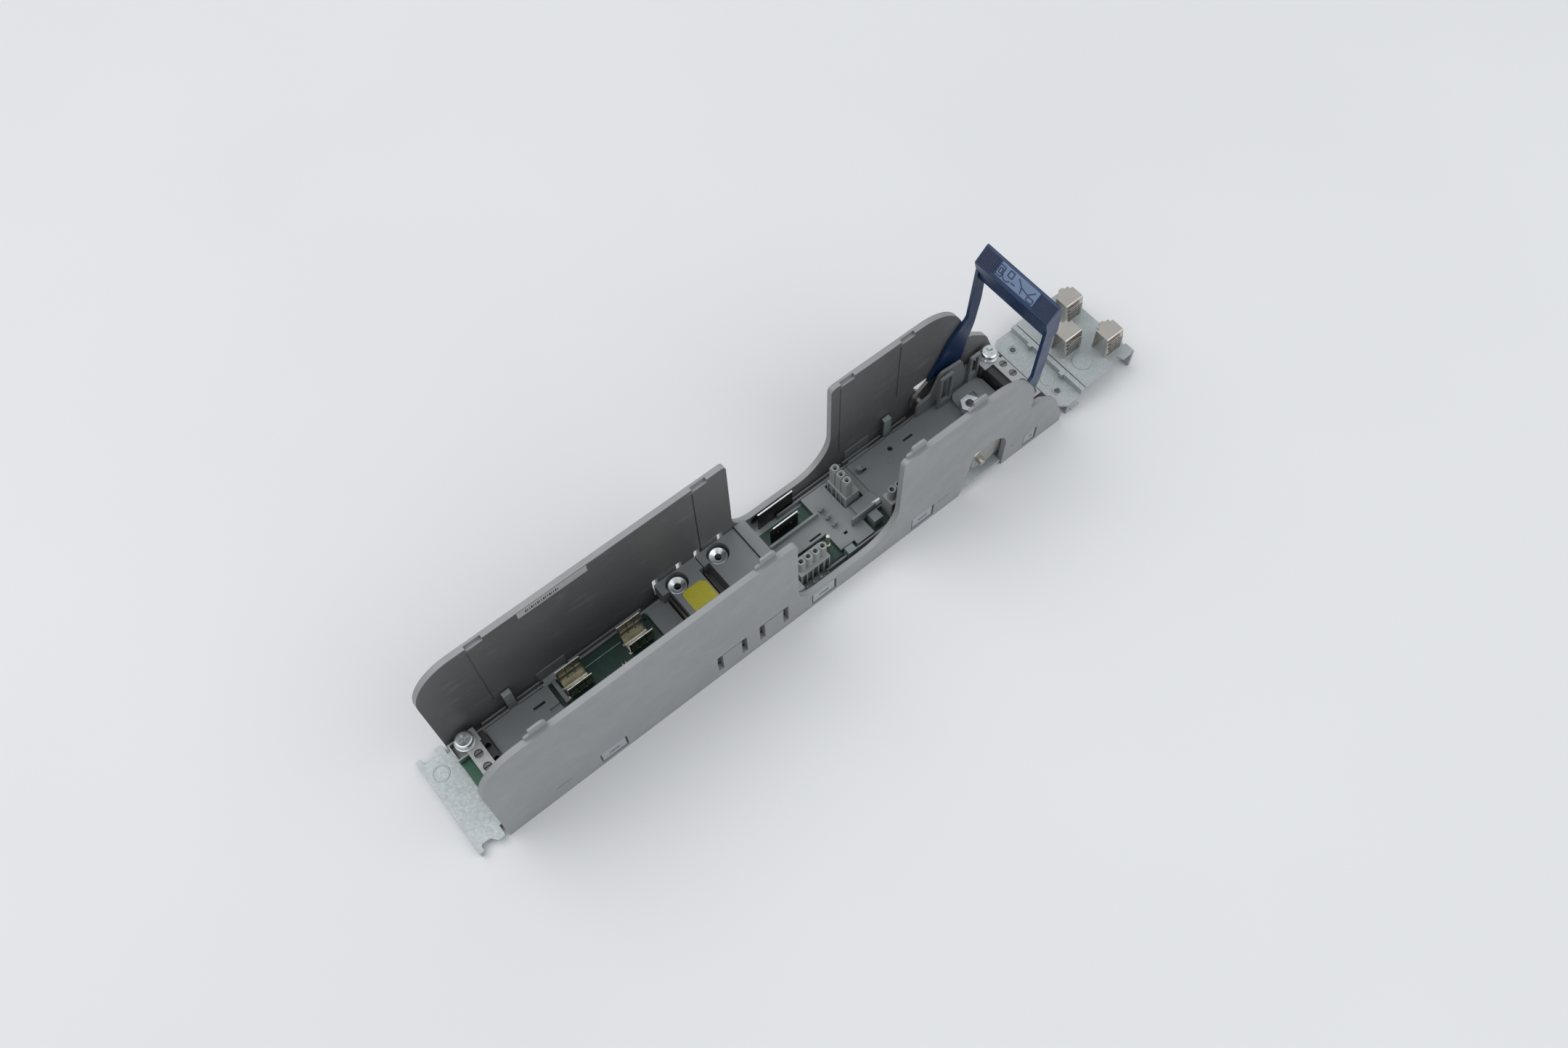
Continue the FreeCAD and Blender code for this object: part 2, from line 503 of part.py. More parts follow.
cover_deck = box("middle_deck", ("dim.middle_start + 7", "dim.middle_end"),
                 ("-dim.cover_half", "dim.cover_half"),
                 ("dim.floor_top - dim.cover_sheet", "dim.floor_top"))
cross_bar = box("cross_bar", ("dim.middle_start", "dim.middle_start + 7"), (-26.2, 26.2), (8, 21.5))
far_skirt = box("middle_skirt_far", ("dim.middle_start + 7", "dim.middle_end"),
                ("dim.cover_half - 1.2", "dim.cover_half"),
                ("dim.plate_top", "dim.floor_top"))
near_skirt = box("middle_skirt_near", ("dim.middle_start + 7", "dim.middle_end"),
                 ("-dim.cover_half", "-dim.cover_half + 1.2"),
                 ("dim.plate_top", "dim.floor_top"))
well_near_wall = box("well_near_wall", (196.5, 230), (6.2, 7.6), (8, 14))
comb = [box(f"comb_{index}", (231.8, 234.6), (6.6 - 5.7 * index, 8.2 - 5.7 * index), ("dim.floor_top", 13))
        for index in range(3)]
middle_openings = [
    box("well", (196.5, 229), (7.6, 30), (0, 14.5)),
    box("three_pole_opening", (244.8, 257.8), (0.6, 18.6), (0, 20)),
    box("four_pole_opening", (194.6, 226.6), (-22, -4.6), (0, 20)),
    box("small_slot_0", (216.6, 224.4), (-3.2, -2), (0, 20)),
    box("small_slot_1", (234.2, 236.6), (-11.6, -10), (0, 20)),
    box("two_pole_opening", (248, 262.5), (-22, -10.6), (0, 20)),
    box("coding_opening", (226.6, 236), (-22, -17.4), (0, 20)),
]
raised_block = box("raised_block", (247, "dim.middle_end"), (-9.6, -0.4), ("dim.floor_top - 1", 12))
ledge = box("ledge", (240.4, 257.2), (-10.6, -9.4), ("dim.floor_top - dim.cover_sheet", 18))
middle_blank = fuse("middle_blank", [cover_deck, cross_bar, far_skirt, near_skirt, well_near_wall,
                                     raised_block, ledge]
                    + comb)
sub_part("middle_cover", cut("middle_cover_solid", middle_blank, middle_openings))

sub_part("signal_board", box("signal_board_solid", (194.4, "dim.signal_board_end"), (-19, 19),
                             ("dim.plate_top + 0.2", "dim.plate_top + 1.8")))
connector_foot = dim.plate_top + 1.8


def socket_connector(label, poles, start, low, along, top, shelf):
    """A shelf with a row of square towers, each with a round contact hole; along is the row's direction."""
    pitch, width, gap = dim.pole_pitch, dim.pole_width, 0.25
    length = pitch * poles

    def tower_spans(index):
        first, last = pitch * index + gap, pitch * (index + 1) - gap
        if along == "y":
            return (start, start + width), (low + first, low + last)
        return (start + first, start + last), (low, low + width)

    if along == "y":
        shelf_x, shelf_y, shelf_top = (start - 0.4, start + shelf), (low - 0.6, low + length + 0.6), top - 15
        rib_x, rib_y = (start + 0.9, start + width - 0.9), (low + 0.3, low + length - 0.3)
    else:
        shelf_x, shelf_y, shelf_top = (start - 0.6, start + length), (low - 1.4, low + shelf), top - 9
        rib_x, rib_y = (start + 0.3, start + length - 0.3), (low + 0.9, low + width - 0.9)
    solids = [box(f"{label}_shelf", shelf_x, shelf_y, (connector_foot, shelf_top)),
              box(f"{label}_rib", rib_x, rib_y, (shelf_top - 1, top - 3))]
    holes = []
    for index in range(poles):
        x_span, y_span = tower_spans(index)
        solids.append(box(f"{label}_tower_{index}", x_span, y_span, (connector_foot, top)))
        holes.append(cylinder(f"{label}_hole_{index}", "dim.pole_hole", 12,
                              (sum(x_span) / 2, sum(y_span) / 2, top - 9)))
    sub_part(label, cut(f"{label}_solid", fuse(f"{label}_blank", solids), holes))


socket_connector("three_pole_connector", 3, 245.6, 1.6, "y", 34, 9.5)
socket_connector("four_pole_connector", 4, 196.6, -19.2, "x", 31, 8.6)
socket_connector("two_pole_connector", 2, 261.9, -17.2, "x", 31, 6.6)
sub_part("contact_springs", group("contact_springs_group", [
    box("contact_spring_far", (201.2, 225.4), (22.8, 23.4), ("dim.plate_top", 21.5)),
    box("contact_spring_near", (200.6, 219.8), (11.2, 11.8), (connector_foot, 21.5)),
    cylinder("contact_rivet_0", 0.9, 0.5, (205.5, 10.7, 15), "y"),
    cylinder("contact_rivet_1", 0.9, 0.5, (214.5, 10.7, 15), "y")]))
sub_part("coding_blocks", group("coding_blocks_group", [
    box("coding_block_0", (250.4, 256.6), (-17.7, -11.2), (connector_foot, 14)),
    box("coding_block_1", (227, 232.6), (-23.6, -19.2), ("dim.plate_top", 14))]))
sub_part("contact_pin", fuse("contact_pin_solid", [
    cylinder("contact_pin_shaft", 1.1, 18, (220.4, -13.2, 10)),
    cylinder("contact_pin_seat", 1.6, 12, (220.4, -13.2, connector_foot))]))

# ---------------------------------------------------------------- upper cover, hooks and earth nut

upper_deck = box("upper_deck", ("dim.upper_start", "dim.upper_stop"), ("-dim.cover_half", "dim.cover_half"),
                 ("dim.floor_top - dim.cover_sheet", "dim.floor_top"))
raised_end = profile("raised_end", "top", "dim.floor_top - 1", 4, [rectangle(336.5, 359.6, -17.4, 17.4, 5)])
hinge_cheeks = [profile(f"hinge_cheek_{index}", "side", f"{-max(side * 21.2, side * 19.4)}", 1.8,
                        [[(314, 8, 0), (314, 21.8, 4), (324, 23.5, 3), (330, 39.5, 3), (346, 37.5, 3),
                          (350, 24, 5),
                           (352, 8, 0)]])
                for index, side in enumerate((-1, 1))]
hinge_pads = [box(f"hinge_pad_{index}", (312, 352), across(side, 19, 21.2), ("dim.plate_top", 10))
              for index, side in enumerate((-1, 1))]
upper_skirts = [box(f"upper_skirt_{index}", ("dim.upper_start", "dim.upper_stop"), across(side, 19.3, 20.5),
                    ("dim.plate_top", "dim.floor_top")) for index, side in enumerate((-1, 1))]
guide_post = cylinder("guide_post", 1.9, 6, (265.9, 13.6, 9))
upper_openings = [
    box("upper_two_pole_opening", (262, 274), (-22, -8.4), (0, 20)),
    cylinder("screw_hole", 1.6, 20, (289, 13.7, 0)),
    box("small_slot_2", (266.8, 270.4), (12, 13.2), (0, 20)),
    box("small_slot_3", (298, 305), (12.2, 13.6), (0, 20)),
    box("small_slot_4", (345.4, 350), (7.6, 11), (12, 20)),
]
sub_part("upper_cover", cut("upper_cover_solid",
                            fuse("upper_cover_blank",
                                 [upper_deck, raised_end, guide_post] + hinge_cheeks + hinge_pads
                                 + upper_skirts), upper_openings))


def snap_hook(label, start, end, low, foot, top):
    """A springy plastic staple with a window, for holding the drive down."""
    outline = [rectangle(start, end, foot, top, 1.2),
               rectangle(start + 1.8, end - 1.8, foot + 6, top - 2, 0.8)]
    return profile(label, "side", f"{-(low + 1.8)}", 1.8, outline)


sub_part("snap_hooks", group("snap_hooks_group", [
    snap_hook("snap_hook_0", 327, 336.8, 15.8, 10, 39.5),
    snap_hook("snap_hook_1", 327, 336.8, -17.6, 10, 39.5),
    snap_hook("snap_hook_2", 351.4, 359, 17.4, 13, 36),
    snap_hook("snap_hook_3", 351.4, 359, -19.2, 13, 36)]))
nut_corners = [(340.4 + 6 * math.cos(math.radians(60 * k)), 4.2 + 6 * math.sin(math.radians(60 * k)), 0.4)
               for k in range(6)]
nut_hole = cylinder("earth_nut_hole", 2.6, 10, (340.4, 4.2, 12))
sub_part("earth_nut", cut("earth_nut_solid", profile("earth_nut_blank", "top", 13, 5, [nut_corners]),
                          [nut_hole]))

# ---------------------------------------------------------------- upper end: earth terminal, supply terminals

upper_block = cut("upper_block_solid",
                  box("upper_block_body", (361, 374.6), (-20, 15.8), ("dim.plate_top", 21.4)),
                  [cylinder(f"upper_wire_entry_{index}", 1.7, 6, (360, 9.6 - 8 * index, 15.5), "x")
                   for index in range(4)]
                  + [cylinder(f"upper_screw_well_{index}", 2.3, 6, (370.4, 9.6 - 8 * index, 18))
                     for index in range(4)])
sub_part("upper_terminal_block", upper_block)
sub_part("upper_clamp_body", cut("upper_clamp_body_solid",
                                 box("upper_clamp_blank", (361.4, 374.4), (16, 23.8),
                                     ("dim.plate_top", 21.4)),
                                 [box("upper_clamp_recess", (362.4, 373.4), (16.8, 23), (12, 21.4))]))
UPPER_SCREWS = [(370.4, 9.6 - 8 * index) for index in range(4)]
upper_strip = fuse("upper_strip", [box("upper_strip_blank", (365.8, 373.6), (-18, 13.6),
                                       (21.5, "dim.upper_clamp_top")),
                                   box("upper_strip_tab", (359.6, 372), (13, 23.6),
                                       (21.5, "dim.upper_clamp_top"))])
upper_holes = [cylinder(f"upper_terminal_hole_{index}", 2.3, 4, (x, y, 20.8))
               for index, (x, y) in enumerate(UPPER_SCREWS)]
upper_earth_hole = cylinder("upper_earth_hole", 2.1, 4, (368, 19.2, 20.8))
sub_part("upper_clamp_plate", cut("upper_clamp_plate_solid", upper_strip, upper_holes + [upper_earth_hole]))
earth_screw("upper_earth_screw", 368, 19.2, dim.upper_clamp_top)
terminal_screws("upper_terminal_screws", UPPER_SCREWS, dim.upper_clamp_top - 0.2)

# ---------------------------------------------------------------- stickers

sub_part("rating_label", box("rating_label_solid", (61.5, 101.7), (26.3, 26.5), (80.6, 86)))
sub_part("caution_patch", box("caution_patch_solid", (141.4, 156.4), (-3.5, 13),
                              ("dim.bus_top", "dim.bus_top + 0.2")))

# ---------------------------------------------------------------- locking handle

ARM = [(324.8, dim.lever_top, 0), (349.8, dim.lever_top, 0), (352.4, 45, 25), (356.2, 60, 30),
       (358.4, 80, 60),
       (358.4, 108, 0), (351.8, 108, 0), (350.2, 69, 5), (338.7, 56.5, 8), (331.8, 42, 20)]
LEVER = [(dim.pivot_x - 6.5, dim.pivot_z - 6.5, 6), (dim.pivot_x + 8, dim.pivot_z - 9.5, 7), (338, 18.5, 10),
         (349.8, dim.lever_top, 0), (324.8, dim.lever_top, 0), (dim.pivot_x - 4.5, dim.pivot_z + 5.5, 3)]
BAR = [(354.4, 99, 1), (350, 115.3, 1), (358.4, 124.3, 1), (360.4, 117.5, 2), (361, 101, 2), (359.6, 99, 0.5)]
GRIP_WELL = [(356.4, 98, 0), (354.4, 112, 2), (357.8, 117, 2), (359, 112, 1), (359.2, 98, 0)]
ARM_SIDES = (("far", "dim.arm_outer"), ("near", "-dim.arm_outer + dim.arm_gauge"))

handle_pieces = [profile(f"handle_arm_{name}", "side", f"-({high})", "dim.arm_gauge", [ARM])
                 for name, high in ARM_SIDES]
handle_pieces.append(profile("handle_bar", "side", "-dim.arm_outer", "2 * dim.arm_outer", [BAR]))
grip_well = profile("grip_well", "side", "-dim.arm_outer + 4", "2 * dim.arm_outer - 8", [GRIP_WELL])
sub_part("handle_frame", cut("handle_frame_solid", fuse("handle_blank", handle_pieces), [grip_well]))
pivot_bore = cylinder("pivot_bore", "dim.pin_radius + dim.pin_clearance", 70,
                      ("dim.pivot_x", -35, "dim.pivot_z"), "y")
levers = [profile(f"handle_lever_{name}", "side", f"-({high})", "dim.arm_gauge", [LEVER])
          for name, high in ARM_SIDES]
sub_part("handle_levers", cut("handle_levers_solid", group("handle_lever_blanks", levers), [pivot_bore]))

slope = Vector(8.4, 0, 9).normalize()
lift = Vector(-9, 0, 8.4).normalize()
bar_edge = Vector(350, 0, 115.3)
panel_corners = [bar_edge + slope * along + lift * up for along, up in ((2.2, 0.02), (10.4, 0.02), (10.4,
        0.4), (2.2, 0.4))]
sub_part("handle_panel", profile("handle_panel_solid", "side", "-13.2", 27,
                                 [[(at.x, at.z, 0) for at in panel_corners]]))
sub_part("pivot_pins", group("pivot_pins_group", [
    cylinder("pivot_pin_near", "dim.pin_radius", 8.2, ("dim.pivot_x", -29.4, "dim.pivot_z"), "y"),
    cylinder("pivot_pin_far", "dim.pin_radius", 5.2, ("dim.pivot_x", 21.2, "dim.pivot_z"), "y")]))

doc.recompute()

failed = [item.Name for item in doc.Objects if "Invalid" in item.State or "Error" in item.State]
if failed:
    raise RuntimeError(f"objects that did not compute: {failed}")
os.makedirs("parts", exist_ok=True)
for item in SUB_PARTS:
    if item.Shape.isNull() or not item.Shape.isValid():
        raise RuntimeError(f"bad shape: {item.Label}")
    item.Shape.exportStep(f"parts/{item.Label}.step")
print(len(SUB_PARTS), "sub-parts written")
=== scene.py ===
"""Looks of the plug-on drive mounting rack: materials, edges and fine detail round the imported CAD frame.

Lengths are in millimetres at rack stations: x from the lower end of the side walls, y from the middle
of the rack, z from the surface that it lies on. place() turns a station into the frame's metres."""

import math

import bmesh
import bpy
from mathutils import Matrix, Vector


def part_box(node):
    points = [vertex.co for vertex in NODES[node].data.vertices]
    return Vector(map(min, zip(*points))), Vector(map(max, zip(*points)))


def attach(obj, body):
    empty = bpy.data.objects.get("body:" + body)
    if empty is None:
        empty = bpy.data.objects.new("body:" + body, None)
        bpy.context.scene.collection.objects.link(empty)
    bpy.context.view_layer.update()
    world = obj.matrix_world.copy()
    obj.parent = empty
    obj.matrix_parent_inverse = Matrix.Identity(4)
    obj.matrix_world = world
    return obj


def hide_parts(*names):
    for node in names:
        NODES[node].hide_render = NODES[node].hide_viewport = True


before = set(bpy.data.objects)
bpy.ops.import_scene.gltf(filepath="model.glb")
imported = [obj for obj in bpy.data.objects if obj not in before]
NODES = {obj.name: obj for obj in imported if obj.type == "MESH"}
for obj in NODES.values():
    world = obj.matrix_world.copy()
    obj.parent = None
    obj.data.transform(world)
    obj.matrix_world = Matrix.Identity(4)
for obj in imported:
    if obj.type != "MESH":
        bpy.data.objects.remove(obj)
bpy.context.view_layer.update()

MM = 0.001
STATION_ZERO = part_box("side_wall_near")[0][0]


def place(x, y, z):
    return Vector((STATION_ZERO + x * MM, y * MM, z * MM))


# ---------------------------------------------------------------- materials

class Shader:
    """A node material in the making: its tree, its Principled shader and the object's own coordinates."""

    def __init__(self, name, roughness, metallic=0.0):
        self.material = bpy.data.materials.new(name)
        self.material.use_nodes = True
        self.tree = self.material.node_tree
        self.surface = self.tree.nodes["Principled BSDF"]
        self.surface.inputs["Roughness"].default_value = roughness
        self.surface.inputs["Metallic"].default_value = metallic
        self.where = self.add("ShaderNodeTexCoord").outputs["Object"]

    def add(self, kind, **settings):
        node = self.tree.nodes.new(kind)
        for key, value in settings.items():
            setattr(node, key, value)
        return node

    def join(self, source, target):
        self.tree.links.new(source, target)

    def stretched(self, x, y, z):
        """The object's coordinates, scaled by one factor per axis."""
        mapping = self.add("ShaderNodeMapping")
        mapping.inputs["Scale"].default_value = (x, y, z)
        self.join(self.where, mapping.inputs["Vector"])
        return mapping.outputs["Vector"]

    def noise(self, per_metre, detail=2.0, where=None):
        noise = self.add("ShaderNodeTexNoise")
        noise.inputs["Scale"].default_value = per_metre
        noise.inputs["Detail"].default_value = detail
        self.join(where or self.where, noise.inputs["Vector"])
        return noise.outputs["Fac"]

    def cells(self, per_metre):
        cells = self.add("ShaderNodeTexVoronoi")
        cells.inputs["Scale"].default_value = per_metre
        self.join(self.where, cells.inputs["Vector"])
        return cells

    def ramp(self, source, stops):
        """source through a colour ramp of two (position, (r, g, b)) stops."""
        ramp = self.add("ShaderNodeValToRGB")
        points = ramp.color_ramp.elements
        for point, (position, colour) in zip(points, stops):
            point.position = position
            point.color = (*colour, 1)
        self.join(source, ramp.inputs["Fac"])
        return ramp.outputs["Color"]

    def span(self, source, low, high, start=0.35, end=0.65):
        """source, from start to end, turned into a number from low to high."""
        span = self.add("ShaderNodeMapRange")
        for key, value in (("From Min", start), ("From Max", end), ("To Min", low), ("To Max", high)):
            span.inputs[key].default_value = value
        self.join(source, span.inputs["Value"])
        return span.outputs["Result"]

    def blend(self, factor, one, other):
        mix = self.add("ShaderNodeMix", data_type="RGBA", blend_type="MIX")
        self.join(factor, mix.inputs["Factor"])
        for source, socket in ((one, "A"), (other, "B")):
            target = next(item for item in mix.inputs if item.name == socket and item.type == "RGBA")
            if isinstance(source, tuple):
                target.default_value = (*source, 1)
            else:
                self.join(source, target)
        return next(item for item in mix.outputs if item.type == "RGBA")

    def product(self, one, other):
        times = self.add("ShaderNodeMath", operation="MULTIPLY")
        self.join(one, times.inputs[0])
        self.join(other, times.inputs[1])
        return times.outputs["Value"]

    def colour(self, source):
        self.join(source, self.surface.inputs["Base Color"])

    def roughness(self, source):
        self.join(source, self.surface.inputs["Roughness"])

    def bump(self, source, height_mm):
        bump = self.add("ShaderNodeBump")
        bump.inputs["Distance"].default_value = height_mm * MM
        bump.inputs["Strength"].default_value = 1.0
        self.join(source, bump.inputs["Height"])
        self.join(bump.outputs["Normal"], self.surface.inputs["Normal"])


def shade(colour, factor):
    return tuple(min(1.0, part * factor) for part in colour)


GRAIN_PER_METRE = 2600
SKIN_GRAIN_MM = 0.03


def moulded(name, colour, roughness, mottle, grain_mm=SKIN_GRAIN_MM):
    """Injection-moulded plastic: fine spark-eroded grain, cloudy flow marks and a few rubbed spots."""
    shader = Shader(name, roughness)
    flow = shader.noise(38, 5, shader.stretched(0.5, 1, 1))
    body = shader.ramp(flow, [(0.3, shade(colour, 1 - mottle)), (0.7, shade(colour, 1 + mottle))])
    rubs = shader.span(shader.noise(420, 4), 0, 0.35, 0.62, 0.78)
    shader.colour(shader.blend(rubs, body, shade(colour, 1.22)))
    shader.roughness(shader.span(shader.noise(90, 4), roughness - 0.07, roughness + 0.09))
    shader.bump(shader.noise(GRAIN_PER_METRE, 3), grain_mm)
    return shader.material


def galvanised():
    """Hot-dip zinc: fine crystals, each with its own tone and gloss, under a dull film."""
    shader = Shader("galvanised_sheet", 0.5, 0.3)
    crystals = shader.cells(900)
    tone = shader.add("ShaderNodeSeparateColor")
    shader.join(crystals.outputs["Color"], tone.inputs["Color"])
    zinc = shader.ramp(tone.outputs["Red"], [(0.0, (0.33, 0.365, 0.37)), (1.0, (0.40, 0.435, 0.44))])
    film = shader.span(shader.noise(60, 5), 0, 0.35, 0.45, 0.7)
    shader.colour(shader.blend(film, zinc, (0.30, 0.325, 0.33)))
    shader.roughness(shader.span(tone.outputs["Green"], 0.34, 0.5, 0, 1))
    shader.bump(shader.noise(1500, 3), 0.012)
    return shader.material


def plated(name, colour, roughness, along, streak):
    """Rolled and plated strip: fine streaks along the rolling direction and a faint haze."""
    shader = Shader(name, roughness, 1.0)
    coarse, fine = 30, 2600
    scale = [coarse if axis == along else fine for axis in "xyz"]
    lines = shader.noise(1, 3, shader.stretched(*scale))
    haze = shader.noise(160, 5)
    strip = shader.ramp(lines, [(0.3, shade(colour, 1 - streak)), (0.7, shade(colour, 1 + streak))])
    shader.colour(shader.blend(shader.span(haze, 0, 0.4, 0.4, 0.75), strip, shade(colour, 0.72)))
    shader.roughness(shader.span(haze, roughness - 0.08, roughness + 0.14))
    shader.bump(lines, 0.008)
    return shader.material


def circuit_board(name, mask, track):
    """Solder mask over raised copper tracks."""
    shader = Shader(name, 0.38)
    tracks = shader.add("ShaderNodeTexBrick", offset=0.37, squash=1.6, squash_frequency=3)
    for key, value in (("Scale", 210.0), ("Mortar Size", 0.035), ("Mortar Smooth", 0.15)):
        tracks.inputs[key].default_value = value
    for key, grey in (("Color1", 0), ("Color2", 0), ("Mortar", 1)):
        tracks.inputs[key].default_value = (grey, grey, grey, 1)
    shader.join(shader.stretched(0.35, 1.0, 0.001), tracks.inputs["Vector"])
    lines = shader.product(tracks.outputs["Color"], shader.span(shader.noise(60, 1), 0, 1, 0.48, 0.5))
    shader.colour(shader.blend(lines, mask, track))
    shader.bump(lines, 0.04)
    return shader.material


def paper(name, colour):
    """Printed film: nearly even, with a faint fibre and soft gloss."""
    shader = Shader(name, 0.5)
    fibre = shader.noise(700, 5)
    shader.colour(shader.ramp(fibre, [(0.3, shade(colour, 0.93)), (0.7, shade(colour, 1.05))]))
    shader.bump(fibre, 0.01)
    return shader.material


COVER = moulded("cover_plastic", (0.190, 0.201, 0.208), 0.5, 0.07)
BLACK = moulded("black_plastic", (0.026, 0.026, 0.028), 0.42, 0.2)
SOCKET = moulded("connector_plastic", (0.26, 0.27, 0.27), 0.48, 0.05)
SOLDER = moulded("solder_tin", (0.86, 0.87, 0.86), 0.22, 0.03)
RELAY = moulded("relay_plastic", (0.165, 0.19, 0.20), 0.5, 0.06)
BLUE = moulded("handle_plastic", (0.008, 0.028, 0.085), 0.34, 0.06, 0.015)
# Painted shade: a darker copy of the handle's blue, laid between the ribs where shade falls.
GROOVE_SHADE_BLUE = moulded("handle_groove", (0.003, 0.009, 0.030), 0.5, 0.06, 0.015)
PANEL = moulded("panel_plastic", (0.125, 0.185, 0.29), 0.4, 0.05, 0.01)
PANEL_LINE = moulded("panel_line", (0.010, 0.022, 0.08), 0.5, 0.08, 0.01)
ZINC = galvanised()
NICKEL = plated("clamp_nickel", (0.56, 0.525, 0.48), 0.3, "x", 0.07)
STEEL = plated("lever_steel", (0.46, 0.455, 0.42), 0.42, "z", 0.05)
SPRING = plated("spring_bronze", (0.085, 0.078, 0.072), 0.4, "x", 0.12)
SCREW = plated("screw_zinc", (0.70, 0.74, 0.75), 0.25, "x", 0.04)
BUSH = plated("bush_steel", (0.88, 0.90, 0.90), 0.34, "z", 0.03)
# Painted shade: a dark copy of the screw metal for screws and contact sleeves that sit down in recesses.
RECESS_SHADED_METAL = plated("terminal_screw", (0.20, 0.20, 0.20), 0.42, "x", 0.06)
STRIP = plated("terminal_zinc", (0.43, 0.44, 0.44), 0.5, "y", 0.05)
TIN = plated("clip_tin", (0.66, 0.64, 0.54), 0.26, "x", 0.14)
BAR = plated("bar_metal", (0.10, 0.09, 0.08), 0.4, "y", 0.08)
BOARD = circuit_board("green_mask", (0.008, 0.085, 0.042), (0.02, 0.14, 0.07))
DARK_BOARD = circuit_board("dark_mask", (0.008, 0.038, 0.027), (0.016, 0.062, 0.042))
LABEL = paper("label_film", (0.50, 0.505, 0.50))
LABEL_INK = paper("label_ink", (0.05, 0.05, 0.055))
CAUTION = paper("caution_film", (0.47, 0.42, 0.022))

NODE_LOOKS = {
    ZINC: ("back_plate", "upper_bracket", "shield_plate"),
    SPRING: ("contact_springs",),
    COVER: ("lower_cover", "bus_block", "middle_cover", "upper_cover", "snap_hooks"),
    BLACK: ("lower_terminal_block", "upper_terminal_block", "board_posts"),
    RELAY: ("coding_blocks",),
    BLUE: ("handle_frame",),
    PANEL: ("handle_panel",),
    NICKEL: ("shield_clamp_1", "shield_clamp_2", "shield_clamp_3"),
    STEEL: ("handle_levers", "pivot_pins"),
    STRIP: ("lower_clamp_plate", "upper_clamp_plate", "lower_clamp_body", "upper_clamp_body"),
    SCREW: ("lower_earth_screw", "upper_earth_screw", "earth_nut", "bus_bush_1", "bus_bush_2"),
    RECESS_SHADED_METAL: ("lower_terminal_screws", "upper_terminal_screws"),
    TIN: ("fuse_clip_1", "fuse_clip_2", "fuse_clip_3", "fuse_clip_4", "contact_pin"),
    BAR: ("bus_bars",),
    BOARD: ("lower_board",),
    DARK_BOARD: ("fuse_board", "signal_board"),
    SOCKET: ("three_pole_connector", "four_pole_connector", "two_pole_connector"),
    LABEL: ("rating_label",),
    CAUTION: ("caution_patch",),
}
USUAL_EDGE_MM = 0.18
EDGE_MM = {"side_wall_near": 0.5, "side_wall_far": 0.5, "handle_frame": 0.35, "shield_plate": 0.35,
           "upper_bracket": 0.35, "back_plate": 0.45,
           "shield_clamp_1": 0.16, "shield_clamp_2": 0.16, "shield_clamp_3": 0.16,
           "fuse_clip_1": 0.14, "fuse_clip_2": 0.14, "fuse_clip_3": 0.14, "fuse_clip_4": 0.14}


def round_edges(obj, width_mm, weld=True):
    """Small rounded edges: welded, flat faces merged, sharp edges bevelled, normals weighted by face size."""
    if weld:
        obj.modifiers.new("weld", "WELD").merge_threshold = 0.002 * MM
    flat = obj.modifiers.new("flatten", "DECIMATE")
    flat.decimate_type = "DISSOLVE"
    flat.angle_limit = math.radians(0.6)
    bevel = obj.modifiers.new("edges", "BEVEL")
    bevel.width = width_mm * MM
    bevel.segments = 2
    bevel.limit_method = "ANGLE"
    bevel.angle_limit = math.radians(38)
    bevel.use_clamp_overlap = True
    normals = obj.modifiers.new("normals", "WEIGHTED_NORMAL")
    normals.keep_sharp = False


for look, names in NODE_LOOKS.items():
    for name in names:
        NODES[name].data.materials.clear()
        NODES[name].data.materials.append(look)
for name, node in NODES.items():
    round_edges(node, EDGE_MM.get(name, USUAL_EDGE_MM))


def wall_with_painted_inner_shade(name, side):
    """A wall whose face towards the trough is painted darker: painted shade for the trough's interior."""
    shader = Shader(f"{name}_plastic", 0.5)
    place_of = shader.add("ShaderNodeSeparateXYZ")
    shader.join(shader.where, place_of.inputs["Vector"])
    border, blur = side * 26.75 * MM, 0.1 * MM
    before, after = (1, 0) if side > 0 else (0, 1)
    # painted shade: the face towards the trough gets the darker tone
    inner_shade_mask = shader.span(place_of.outputs["Y"], before, after, border - blur, border + blur)
    flow = shader.noise(30, 5, shader.stretched(0.5, 1, 1))
    outer_tone = shader.ramp(flow, [(0.3, (0.240, 0.245, 0.250)), (0.7, (0.262, 0.267, 0.272))])
    painted_shade_tone = shader.ramp(flow, [(0.3, (0.118, 0.121, 0.124)), (0.7, (0.140, 0.143, 0.146))])
    tone = shader.blend(inner_shade_mask, outer_tone, painted_shade_tone)
    scuffs = shader.span(shader.noise(60, 6, shader.stretched(1, 1, 3)), 0, 0.22, 0.6, 0.75)
    shader.colour(shader.blend(scuffs, tone, (0.34, 0.345, 0.35)))
    shader.roughness(shader.span(shader.noise(90, 4), 0.42, 0.58))
    shader.bump(shader.noise(GRAIN_PER_METRE, 3), SKIN_GRAIN_MM)
    NODES[name].data.materials.clear()
    NODES[name].data.materials.append(shader.material)


wall_with_painted_inner_shade("side_wall_near", -1)
wall_with_painted_inner_shade("side_wall_far", 1)


# ---------------------------------------------------------------- mesh helpers

def station_box(node):
    """A CAD node's lowest and highest corners as stations."""
    low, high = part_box(node)
    return [((corner[0] - STATION_ZERO) / MM, corner[1] / MM, corner[2] / MM) for corner in (low, high)]


def add_box(mesh, low, high):
    """A box between two station corners."""
    low, high = place(*low), place(*high)
    corners = [mesh.verts.new((x, y, z))
               for x in (low.x, high.x) for y in (low.y, high.y) for z in (low.z, high.z)]
    for face in ((0, 1, 3, 2), (4, 6, 7, 5), (0, 4, 5, 1), (2, 3, 7, 6), (0, 2, 6, 4), (1, 5, 7, 3)):
        mesh.faces.new([corners[index] for index in face])


